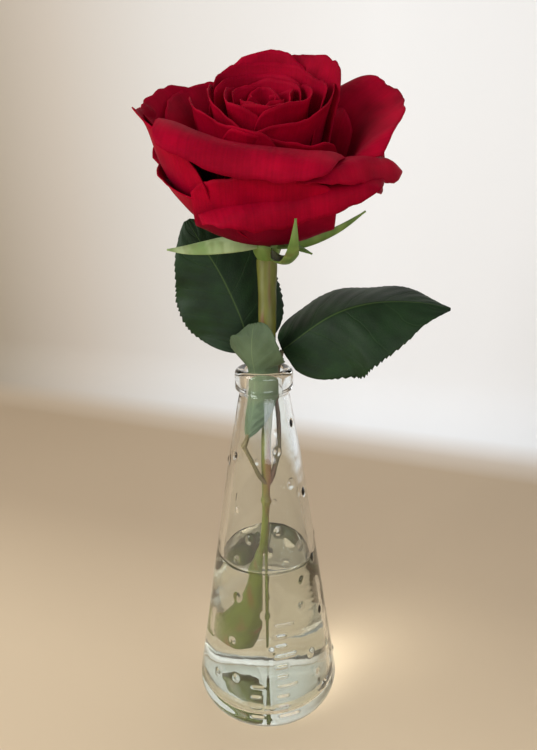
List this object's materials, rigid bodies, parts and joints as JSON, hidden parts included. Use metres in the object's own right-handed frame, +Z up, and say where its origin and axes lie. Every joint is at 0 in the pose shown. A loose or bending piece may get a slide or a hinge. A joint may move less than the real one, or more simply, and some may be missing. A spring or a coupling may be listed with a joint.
{
  "type": "rose in a bud vase",
  "caption": "One cut red rose with leaves, standing in a small conical bud vase of bubbled clear glass that is half full of water.",
  "frame": {"origin": "middle of the bottle's flat base, on the surface it stands on", "axes": "+Z up along the bottle, -Y towards the viewer, +X to the viewer's right"},
  "size_m": [0.121, 0.0976, 0.2946],
  "materials": {
    "glass": "gloss",
    "water": "gloss",
    "stem": "satin",
    "calyx": "matte",
    "petal": "matte",
    "leaf_dark": "satin",
    "leaf_pale": "matte"
  },
  "bodies": {
    "root": {"bud_vase": "glass", "water": "water", "rose_stem": "stem", "calyx": "calyx", "rose_bloom": "petal", "leaf_right": "leaf_dark", "leaf_left": "leaf_dark", "leaf_front": "leaf_pale"}
  },
  "joints": []
}
